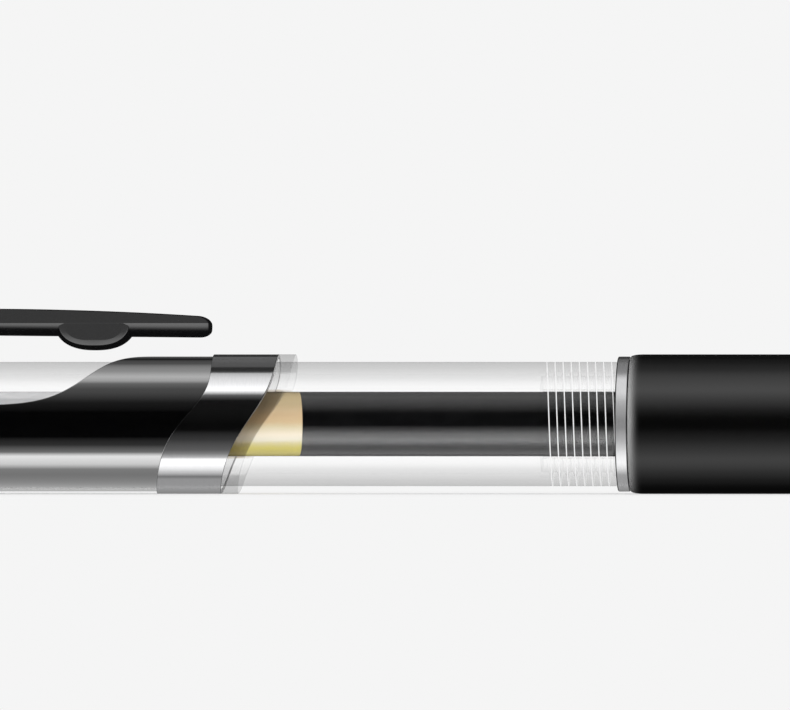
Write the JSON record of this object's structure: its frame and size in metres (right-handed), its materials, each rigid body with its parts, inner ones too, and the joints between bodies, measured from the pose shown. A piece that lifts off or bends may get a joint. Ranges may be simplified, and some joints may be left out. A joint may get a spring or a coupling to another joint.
{
  "type": "retractable sign pen",
  "caption": "Retractable pen with a clear barrel, swept window shell, oblique metal band, pocket clip, rubber grip and a push button.",
  "frame": {"origin": "on the pen's axis at the middle of the rubber grip", "axes": "+X along the pen towards the writing tip, +Z from the axis towards the pocket clip, +Y to the left of the clip seen from the tip's side"},
  "size_m": [0.1435, 0.013, 0.0172],
  "materials": {
    "clear_plastic": "gloss",
    "smoke_plastic": "gloss",
    "black_gloss": "gloss",
    "black_satin": "satin",
    "black_rubber": "matte",
    "bright_metal": "polished",
    "tube_plastic": "satin",
    "white_plastic": "satin",
    "black_ink": "gloss",
    "grease": "gloss",
    "tip_metal": "satin",
    "spring_steel": "satin"
  },
  "bodies": {
    "barrel": {"clear_barrel": "clear_plastic", "rear_shell": "black_gloss", "trim_band": "bright_metal", "band_lip": "smoke_plastic", "rear_cap": "black_gloss", "guide_sleeve": "black_satin"},
    "clip": {"clip": "black_satin"},
    "knock": {"push_button": "bright_metal", "thrust_cam": "white_plastic"},
    "refill": {"rotor_cam": "white_plastic", "refill_tube": "tube_plastic", "ink_column": "black_ink", "follower_grease": "grease", "refill_plug": "white_plastic", "tip_holder": "white_plastic", "writing_tip": "tip_metal", "tip_ball": "tip_metal"},
    "ring": {"trim_ring": "bright_metal"},
    "front": {"grip_core": "clear_plastic", "grip_sleeve": "black_rubber", "nose_cone": "bright_metal", "spring": "spring_steel"}
  },
  "joints": [
    {"name": "clip_lift", "type": "hinge", "parent": "barrel", "child": "clip", "pos_m": [-0.0998, 0, 0.0056], "axis": [0, -1, 0], "range_deg": [0, 5], "stiffness_Nm_per_rad": 2},
    {"name": "knock_press", "type": "slide", "parent": "barrel", "child": "knock", "axis": [1, 0, 0], "range_m": [0, 0.0065], "stiffness_N_per_m": 450, "springref_m": -0.0035},
    {"name": "refill_slide", "type": "slide", "parent": "barrel", "child": "refill", "axis": [1, 0, 0], "range_m": [0, 0.0065], "deforming": ["spring"]},
    {"name": "ring_advance", "type": "slide", "parent": "barrel", "child": "ring", "axis": [1, 0, 0], "range_m": [0, 0.00601]},
    {"name": "front_unscrew", "type": "hinge", "parent": "ring", "child": "front", "pos_m": [0, 0, 0], "axis": [1, 0, 0], "range_deg": [0, 2880]}
  ],
  "couplings": [
    {"joint": "refill_slide", "follows": "knock_press", "ratio": 1},
    {"joint": "ring_advance", "follows": "front_unscrew", "m_per_rad": 0.00011937}
  ]
}
